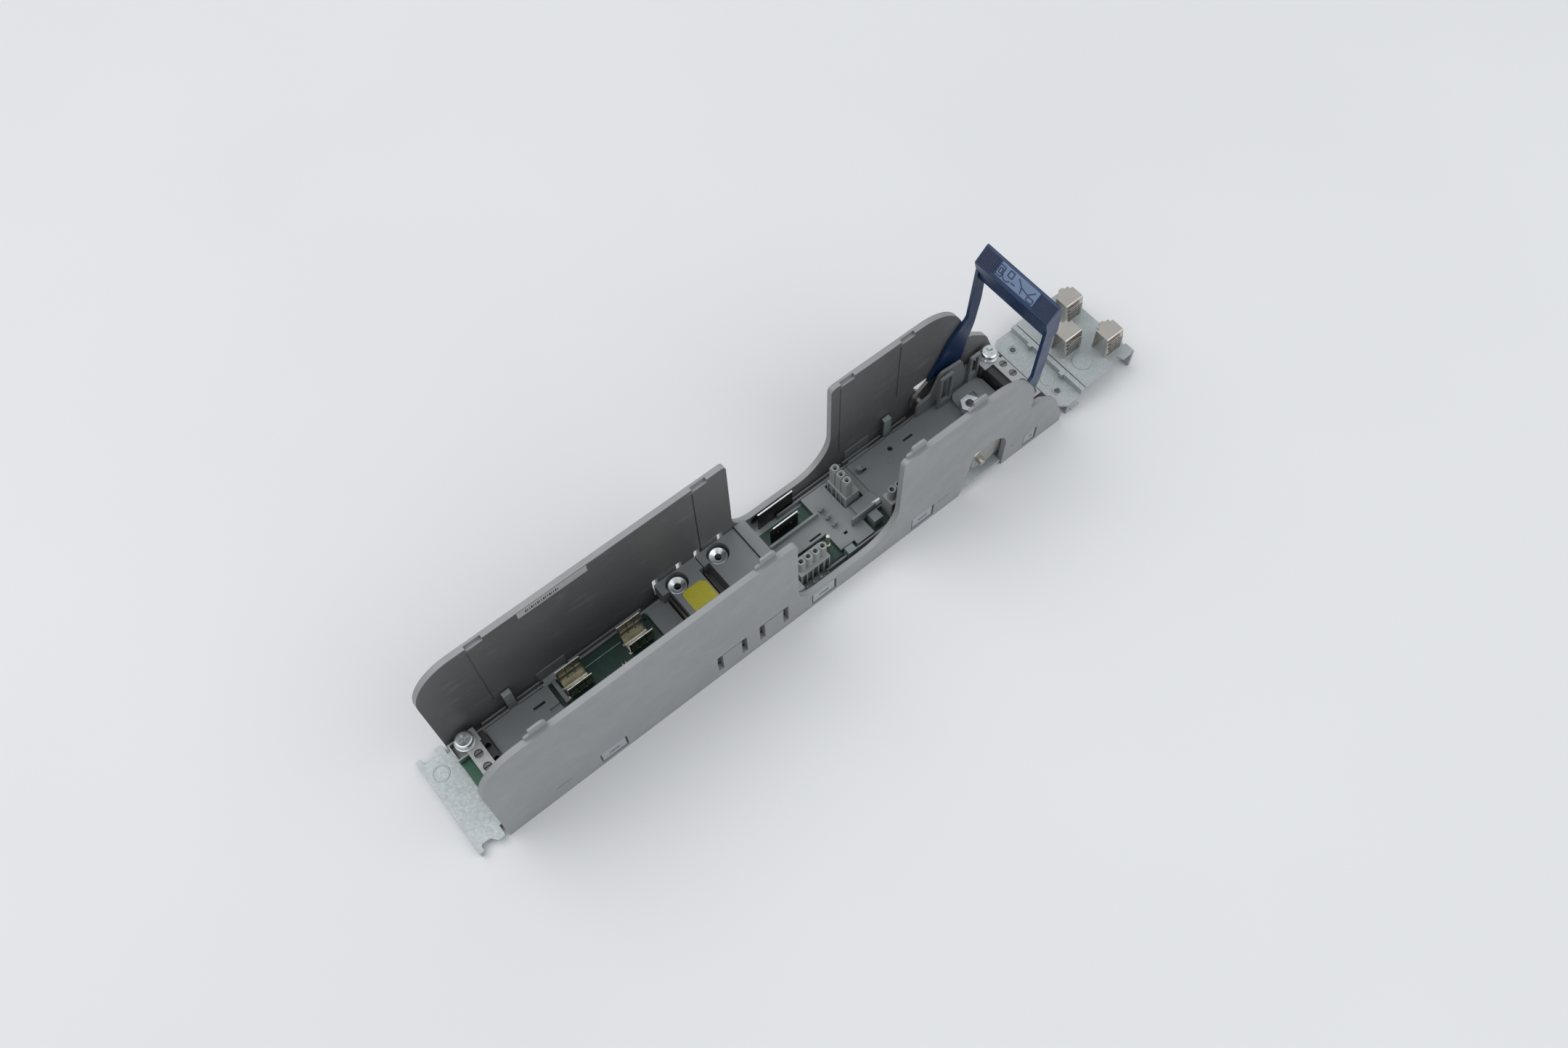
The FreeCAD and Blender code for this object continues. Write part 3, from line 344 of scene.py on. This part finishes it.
def add_plate(mesh, outline, foot, top):
    """A flat plate whose (x, y) outline stands from foot to top."""
    rows = [[mesh.verts.new(place(x, y, z)) for x, y in outline] for z in (foot, top)]
    for row in rows:
        mesh.faces.new(row)
    for k in range(len(outline)):
        after = (k + 1) % len(outline)
        mesh.faces.new([rows[0][k], rows[0][after], rows[1][after], rows[1][k]])


def add_lathe(mesh, centre, profile, count=32, turn=None):
    """Turns a (radius, height) profile round a station centre's z axis, or a turned one. The profile starts
    and ends at radius 0, or closes on itself."""
    turn = turn or Matrix.Identity(3)
    middle = place(*centre)
    rings = []
    for radius, height in profile:
        if radius == 0:
            rings.append([mesh.verts.new(middle + turn @ Vector((0, 0, height * MM)))])
            continue
        angles = [math.tau * k / count for k in range(count)]
        rings.append([mesh.verts.new(middle + turn @ Vector((
            radius * MM * math.cos(angle), radius * MM * math.sin(angle), height * MM))) for angle in angles])
    pairs = list(zip(rings, rings[1:]))
    if len(rings[0]) > 1:
        pairs.append((rings[-1], rings[0]))
    for one, other in pairs:
        for k in range(count):
            quad = [one[k % len(one)], one[(k + 1) % len(one)],
                    other[(k + 1) % len(other)], other[k % len(other)]]
            corners = list(dict.fromkeys(quad))
            if len(corners) > 2:
                mesh.faces.new(corners)


UP = (0, 0, 1)


def add_strip(mesh, path, width, thickness, up):
    """A flat strip along station points; up is its thickness direction."""
    points = [place(*point) for point in path]
    up = Vector(up).normalized() * thickness * MM / 2
    rows = []
    for index, point in enumerate(points):
        ahead = (points[min(index + 1, len(points) - 1)] - points[max(index - 1, 0)]).normalized()
        side = ahead.cross(up.normalized()).normalized() * width * MM / 2
        rows.append([mesh.verts.new(point + side * a + up * b)
                     for a, b in ((-1, -1), (1, -1), (1, 1), (-1, 1))])
    for one, other in zip(rows, rows[1:]):
        for k in range(4):
            mesh.faces.new([one[k], one[(k + 1) % 4], other[(k + 1) % 4], other[k]])
    mesh.faces.new(rows[0])
    mesh.faces.new(rows[-1])


def piece(name, mesh, body, look, edge_mm=0.0, replaces=()):
    """Makes the object, gives it its look, and lets it ride on its body."""
    bmesh.ops.recalc_face_normals(mesh, faces=mesh.faces)
    data = bpy.data.meshes.new(name)
    mesh.to_mesh(data)
    mesh.free()
    data.materials.append(look)
    for face in data.polygons:
        face.use_smooth = True
    obj = bpy.data.objects.new(name, data)
    bpy.context.scene.collection.objects.link(obj)
    if edge_mm:
        round_edges(obj, edge_mm, weld=False)
    else:
        obj.modifiers.new("normals", "WEIGHTED_NORMAL").keep_sharp = False
    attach(obj, body)
    if replaces:
        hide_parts(*replaces)


# ---------------------------------------------------------------- handle: ribs, panel rim and pictograms

EDGE_LOW = Vector((350, 0, 115.3))
SLOPE = Vector((8.4, 0, 9)).normalized()
LIFT = Vector((-9, 0, 8.4)).normalized()


def on_bar(along, y, up=0.0):
    """A station on the bar's sloping top face."""
    point = EDGE_LOW + SLOPE * along + LIFT * up
    return (point.x, y, point.z)


def handle_ribs():
    """Fine ribs along the bar's top at both ends, over a darker base strip that is painted shade between the
    ribs.
    """
    ribs, groove_shade = bmesh.new(), bmesh.new()
    first, last, count = 0.9, 10.2, 9
    middle = (first + last) / 2
    for start, end in ((-25.2, -15.2), (15.8, 25.2)):
        add_strip(groove_shade, [on_bar(middle, start, 0.04), on_bar(middle, end, 0.04)], last - first, 0.1, LIFT)
        for number in range(count):
            along = first + (last - first) * number / (count - 1)
            add_strip(ribs, [on_bar(along, start, 0.16), on_bar(along, end, 0.16)], 0.52, 0.36, LIFT)
    piece("handle_ribs", ribs, "handle", BLUE, 0.08)
    piece("handle_groove_shade", groove_shade, "handle", GROOVE_SHADE_BLUE)


def panel_rim():
    mesh = bmesh.new()
    low, high, near, far = 1.7, 10.3, -14.4, 15.0
    corners = [on_bar(along, y, 0.12) for along, y in ((low, near), (high, near), (high, far), (low, far))]
    for start, end in zip(corners, corners[1:] + corners[:1]):
        add_strip(mesh, [start, end], 0.55, 0.5, LIFT)
    piece("handle_panel_rim", mesh, "handle", BLUE, 0.1)


def panel_marks():
    """Plain line pictures: rack outlines, a turning arrow and a lever."""
    mesh = bmesh.new()

    def line(points):
        add_strip(mesh, [on_bar(along, y, 0.44) for along, y in points], 0.55, 0.2, LIFT)

    def outline(low, high, near, far):
        line([(low, far), (low, near)])
        line([(low, near), (high, near)])
        line([(high, near), (high, far)])
        line([(high, far), (low, far)])

    outline(3.2, 8.6, 9.6, 13.4)
    outline(4.6, 7.2, 10.4, 12.2)
    outline(6.0, 9.2, 3.6, 6.6)
    turn = [math.radians(200 + 20 * step) for step in range(9)]
    line([(5.2 + 2.1 * math.sin(angle), 6.4 + 2.6 * math.cos(angle)) for angle in turn])
    line([(4.4, 3.0), (4.4, 0.2)])
    line([(9.0, 0.4), (6.2, -3.4), (5.2, -8.2), (8.6, -11.6)])
    line([(6.2, -3.4), (3.0, -4.4)])
    outline(2.8, 5.0, -12.8, -8.8)
    piece("handle_panel_marks", mesh, "handle", PANEL_LINE)


handle_ribs()
panel_rim()
panel_marks()


# ---------------------------------------------------------------- plug connectors

PITCH = 4.9
SQUARE_TURN = Matrix.Rotation(math.radians(45), 3, "Z")


def socket_tower(mesh, x, y, foot, top, square):
    """A bored contact tower with a round collar; a square one carries the collar on a square shaft."""
    outer, bore, depth, collar = 2.35, 1.25, 3, 1.0
    if square:
        corner = 2.2 * math.sqrt(2)
        shaft = top - collar - foot
        add_lathe(mesh, (x, y, foot), [(0, 0), (corner, 0), (corner, shaft), (bore, shaft),
                                       (bore, shaft - depth), (0, shaft - depth)], 4, SQUARE_TURN)
        foot = top - collar
        add_lathe(mesh, (x, y, foot), [(outer, 0), (outer, collar - 0.3), (outer - 0.3, collar),
                                       (bore + 0.4, collar), (bore, collar - 0.4), (bore, 0)])
        return
    height = top - foot
    add_lathe(mesh, (x, y, foot), [
        (0, 0), (outer, 0), (outer, height - 0.3), (outer - 0.3, height), (bore + 0.4, height),
        (bore, height - 0.4), (bore, height - depth), (0, height - depth)])


def contact_sleeves(name, centres, top):
    mesh = bmesh.new()
    for x, y in centres:
        add_lathe(mesh, (x, y, top - 2.8), [(0.6, 0), (0.9, 0), (0.9, 1.1), (0.6, 1.1)], 20)
    piece(name, mesh, "rack", RECESS_SHADED_METAL)


# Black discs deep in the socket bores: painted shade down the holes.
def contact_well_shade(name, centres, top):
    mesh = bmesh.new()
    for x, y in centres:
        add_lathe(mesh, (x, y, top - 2.99), [(0, 0), (1.2, 0), (1.2, 0.1), (0, 0.1)], 20)
    piece(name, mesh, "rack", BLACK)


def row_connector(name, count, along, shelf_height):
    """A row of towers joined by webs, on a shelf whose front is slotted for the contacts' feet."""
    low, high = station_box(name)
    foot, top = low[2], high[2]
    if along == "x":
        centres = [(low[0] + 0.6 + PITCH * (k + 0.5), low[1] + 4.0) for k in range(count)]
        web_x, web_y = 0.5, 1.1
    else:
        centres = [(low[0] + 3.0, low[1] + 0.6 + PITCH * (k + 0.5)) for k in range(count)]
        web_x, web_y = 1.1, 0.5
    mesh = bmesh.new()
    for x, y in centres:
        socket_tower(mesh, x, y, foot + 0.4, top, along == "y")
    for (x0, y0), (x1, y1) in zip(centres, centres[1:]):
        x, y = (x0 + x1) / 2, (y0 + y1) / 2
        add_box(mesh, (x - web_x, y - web_y, foot + 0.4), (x + web_x, y + web_y, top - 1.2))
    shelf_top = foot + shelf_height
    add_box(mesh, (low[0], low[1], shelf_top - 1.6), (high[0], high[1], shelf_top))
    slots = count + 1
    for index in range(slots + 1):
        if along == "x":
            x = low[0] + 0.5 + (high[0] - low[0] - 1) * index / slots
            add_box(mesh, (x - 0.45, low[1], foot), (x + 0.45, high[1], shelf_top - 1.5))
        else:
            y = low[1] + 0.5 + (high[1] - low[1] - 1) * index / slots
            add_box(mesh, (low[0], y - 0.45, foot), (high[0], y + 0.45, shelf_top - 1.5))
    piece(f"{name}_moulding", mesh, "rack", SOCKET, 0.12, (name,))
    contact_sleeves(f"{name}_contacts", centres, top)
    contact_well_shade(f"{name}_well_shade", centres, top)
    return centres


row_connector("three_pole_connector", 3, "y", 12)
FOUR_POLES = row_connector("four_pole_connector", 4, "x", 15)
row_connector("two_pole_connector", 2, "x", 15)


def solder_joints():
    mesh = bmesh.new()
    for x, y in FOUR_POLES:
        add_lathe(mesh, (x, y - 5.2, 6.75), [(0, 0), (0.8, 0), (0.55, 0.35), (0.3, 0.9), (0, 1.0)], 14)
    piece("solder_joints", mesh, "rack", SOLDER)


solder_joints()


# ---------------------------------------------------------------- bushes, springs, cover details

def countersunk_bush(node):
    """A screw bush whose mouth opens as a polished cone."""
    low, high = station_box(node)
    centre = ((low[0] + high[0]) / 2, (low[1] + high[1]) / 2, high[2])
    outer, hole, height = (high[0] - low[0]) / 2, 1.9, high[2] - low[2]
    mesh = bmesh.new()
    add_lathe(mesh, centre, [(hole, -height), (outer, -height), (outer, -0.9), (outer - 0.7, -0.1),
                             (outer - 1.0, 0), (outer - 1.3, -0.15), (hole + 0.2, -1.5), (hole, -2)], 48)
    piece(f"{node}_turning", mesh, "rack", BUSH, 0, (node,))


def spring_edges():
    """The bright cut edges along the tops of the two contact springs, and the rivets' heads."""
    mesh = bmesh.new()
    add_strip(mesh, [(201.2, 23.1, 21.35), (225.4, 23.1, 21.35)], 0.9, 0.35, UP)
    add_strip(mesh, [(202.6, 11.5, 21.4), (219.8, 11.5, 21.4)], 0.8, 0.3, UP)
    piece("spring_edges", mesh, "rack", SCREW, 0.08)
    mesh = bmesh.new()
    for x in (205.5, 214.5):
        add_lathe(mesh, (x, 11.1, 15), [(0, 0), (0.75, 0), (0.6, 0.35), (0.3, 0.5), (0, 0.55)], 16,
                  Matrix.Rotation(math.radians(90), 3, "X"))
    piece("spring_rivets", mesh, "rack", SCREW)


def trough_rails():
    """Two stepped ledges of the plastic trough along each wall, broken where the clips come through."""
    mesh = bmesh.new()
    spans = ((20.5, 35.6), (42.2, 56.6), (74.6, 122), (213.2, 262), (263, 291.6), (298.2, 311))
    for side in (-1, 1):
        for start, end in spans:
            for inner, outer, top in ((21.1, 22.1, 9.4), (24.6, 25.6, 7.6)):
                y0, y1 = sorted((side * inner, side * outer))
                add_box(mesh, (start, y0, 5), (end, y1, top))
    piece("trough_rails", mesh, "rack", COVER, 0.15)


def mould_marks():
    """The ejector ring on the upper cover and the small ribs that stand on the covers."""
    mesh = bmesh.new()
    add_lathe(mesh, (284.7, 7.6, 9.98), [(2.0, 0), (2.35, 0), (2.35, 0.16), (2.0, 0.16)], 32)
    for x, y, length in ((270, -6, 14), (22.5, 0, 12), (318, -12, 10)):
        add_box(mesh, (x, y - 0.4, 9.9), (x + length, y + 0.4, 10.5))
    piece("mould_marks", mesh, "rack", COVER, 0.06)


def comb_hooks():
    """Hooked tips on the middle cover's three comb posts."""
    mesh = bmesh.new()
    for y in (7.4, 1.7, -4.0):
        add_strip(mesh, [(232.2, y, 12.6), (233.4, y, 13.9), (235.4, y, 13.4)], 1.5, 0.9, (0.2, 0, 1))
    piece("comb_hooks", mesh, "rack", COVER, 0.15)


def board_parts():
    """Small surface parts on the signal board and the fuse board, with pale end caps."""
    bodies, caps = bmesh.new(), bmesh.new()
    places = [(231 + 3.6 * k, -16.4 + 0.8 * (k % 2), 6.8) for k in range(4)]
    places += [(208, 17.2, 6.8), (213, 17.2, 6.8), (222, 16.4, 6.8)]
    places += [(84, -6, 8), (88, -6, 8), (96, 5, 8)]
    for x, y, foot in places:
        add_box(bodies, (x, y - 0.6, foot), (x + 1.6, y + 0.6, foot + 0.6))
        for start in (x - 0.4, x + 1.55):
            add_box(caps, (start, y - 0.62, foot), (start + 0.45, y + 0.62, foot + 0.62))
    piece("board_part_bodies", bodies, "rack", BLACK, 0.06)
    piece("board_part_caps", caps, "rack", TIN, 0.06)


def contact_tongue():
    """The bright contact tongue beside the two-pole connector."""
    mesh = bmesh.new()
    add_strip(mesh, [(257.6, -7.4, 12.3), (262.6, -7.4, 12.3)], 1.6, 0.4, UP)
    piece("contact_tongue", mesh, "rack", SCREW, 0.08)


def caution_film():
    """The plain warning film, its two far corners clipped."""
    low, high = station_box("caution_patch")
    mesh = bmesh.new()
    add_plate(mesh, [(low[0], low[1]), (high[0], low[1]), (high[0], high[1] - 2.8), (high[0] - 2.7, high[1]),
                     (low[0] + 1.8, high[1]), (low[0], high[1] - 1.6)], low[2], high[2])
    piece("caution_film", mesh, "rack", CAUTION, 0, ("caution_patch",))


def clip_ridge_highlights():
    """Painted highlights: near-white strips along the rolled tops of the fuse clips' jaws."""
    mesh = bmesh.new()
    for number in (1, 2, 3, 4):
        low, high = station_box(f"fuse_clip_{number}")
        for y in (low[1] + 0.35, high[1] - 0.35):
            ridge = [(low[0] + 0.3, y, high[2] - 0.1), (high[0] - 0.3, y, high[2] - 0.1)]
            add_strip(mesh, ridge, 0.5, 0.18, UP)
    piece("clip_ridge_highlights", mesh, "rack", SOLDER, 0.05)


def fuse_board_details():
    """The printed line along the fuse board, the block at its lower end, and the clips' dark outer leaf
    plates, whose dark is partly their own spring metal and partly painted shade.
    """
    top = station_box("fuse_board")[1][2]
    line, block, leaves_and_shade = bmesh.new(), bmesh.new(), bmesh.new()
    add_box(line, (79.5, 16, top - 0.02), (102.5, 16.25, top + 0.04))
    add_box(block, (60.8, 5, top), (63.2, 20, top + 3.8))
    for number in (1, 2, 3, 4):
        low, high = station_box(f"fuse_clip_{number}")
        middle = (low[1] + high[1]) / 2
        for side in (-1, 1):
            y0, y1 = sorted((middle + side * 5.25, middle + side * 5.55))
            add_box(leaves_and_shade, (low[0] + 0.4, y0, high[2] - 12), (high[0] - 0.4, y1, high[2] - 1.8))
    piece("board_line", line, "rack", LABEL)
    piece("board_end_block", block, "rack", COVER, 0.2)
    piece("clip_leaves_and_shade", leaves_and_shade, "rack", SPRING, 0.08)


def ear_slot_shade():
    """Black plates behind the slots of the plate's ears, in both walls: painted shade seen through the slots.
    """
    mesh = bmesh.new()
    for start, end in ((61.8, 69.8), (200.3, 208.3), (270.9, 278.9), (355.4, 359.4)):
        for side in (-1, 1):
            y0, y1 = sorted((side * 27.9, side * 28.35))
            add_box(mesh, (start, y0, 5.4), (end, y1, 9.4))
    piece("ear_slot_shade", mesh, "rack", BLACK)


def trough_skins():
    """The trough's thin plastic skins behind the far wall's clip windows."""
    mesh = bmesh.new()
    for start, end in ((56.8, 74.5), (265.9, 283.3)):
        add_box(mesh, (start, 26.05, 5), (end, 26.6, 15))
    piece("trough_skins", mesh, "rack", COVER, 0.15)


for bush in ("bus_bush_1", "bus_bush_2"):
    countersunk_bush(bush)
spring_edges()
trough_rails()
mould_marks()
comb_hooks()
board_parts()
contact_tongue()
caution_film()
clip_ridge_highlights()
fuse_board_details()
ear_slot_shade()
trough_skins()


# ---------------------------------------------------------------- shield clamps: louvres

def clamp_louvres():
    """Pressed louvres up the near side of each clamp, over black strips that are painted shade for the dark
    of its interior.
    """
    louvres, gap_shade = bmesh.new(), bmesh.new()
    for number in (1, 2, 3):
        low, high = station_box(f"shield_clamp_{number}")
        for index in range(5):
            z = low[2] + 2.6 + 2.3 * index
            start, end = (low[0] + 1.6, low[1] + 0.05, z), (high[0] - 1.6, low[1] + 0.05, z)
            add_strip(gap_shade, [start, end], 0.14, 1.1, UP)
            lip = [(x, y + 0.1, height + 0.85) for x, y, height in (start, end)]
            add_strip(louvres, lip, 0.25, 0.3, UP)
    piece("clamp_gap_shade", gap_shade, "rack", BLACK)
    piece("clamp_louvres", louvres, "rack", NICKEL, 0.05)


clamp_louvres()


# ---------------------------------------------------------------- labels

def label_marks():
    """Plain bars where a label's print would be."""
    mesh = bmesh.new()
    for k in range(17):
        x = 66 + k * 1.15
        add_box(mesh, (x, 26.22, 82.4), (x + (0.35 if k % 3 else 0.65), 26.34, 84.6))
    piece("rating_label_bars", mesh, "rack", LABEL_INK)


label_marks()


# ---------------------------------------------------------------- floor, light, camera

def floor():
    data = bpy.data.meshes.new("floor")
    reach = 4.0
    corners = [(-reach, -reach, 0), (reach, -reach, 0), (reach, reach, 0), (-reach, reach, 0)]
    data.from_pydata(corners, [], [(0, 1, 2, 3)])
    shader = Shader("floor_paper", 0.8)
    cloud = shader.noise(2.5, 3)
    shader.colour(shader.ramp(cloud, [(0.3, (0.65, 0.652, 0.655)), (0.7, (0.68, 0.682, 0.685))]))
    data.materials.append(shader.material)
    obj = bpy.data.objects.new("floor", data)
    bpy.context.scene.collection.objects.link(obj)


def soft_light(name, where, aim, size, watts, tint=(1, 1, 1)):
    data = bpy.data.lights.new(name, "AREA")
    data.size = size
    data.energy = watts
    data.color = tint
    obj = bpy.data.objects.new(name, data)
    obj.location = where
    obj.rotation_euler = (Vector(aim) - Vector(where)).to_track_quat("-Z", "Y").to_euler()
    bpy.context.scene.collection.objects.link(obj)


def studio():
    soft_light("key", (-0.6, 0.8, 1.9), (0, 0, 0), 2.0, 22)
    soft_light("fill", (0.9, -1.5, 1.6), (0, 0, 0), 2.2, 20, (0.97, 0.985, 1))
    world = bpy.data.worlds.new("studio")
    world.use_nodes = True
    world.node_tree.nodes["Background"].inputs["Color"].default_value = (0.93, 0.96, 1, 1)
    world.node_tree.nodes["Background"].inputs["Strength"].default_value = 0.66
    bpy.context.scene.world = world
    bpy.context.scene.view_settings.view_transform = "Standard"


def camera():
    ahead = Vector((0.27675, 0.36811, -0.88764)).normalized()
    up = Vector((0.56635, 0.68375, 0.46014)).normalized()
    right = ahead.cross(up).normalized()
    up = right.cross(ahead)
    data = bpy.data.cameras.new("camera")
    data.sensor_width = 36
    data.lens = 30.51
    obj = bpy.data.objects.new("camera", data)
    turn = Matrix((right, up, -ahead)).transposed()
    obj.matrix_world = Matrix.Translation(place(10.401, -254.267, 658.618)) @ turn.to_4x4()
    bpy.context.scene.collection.objects.link(obj)
    bpy.context.scene.camera = obj


floor()
studio()
camera()
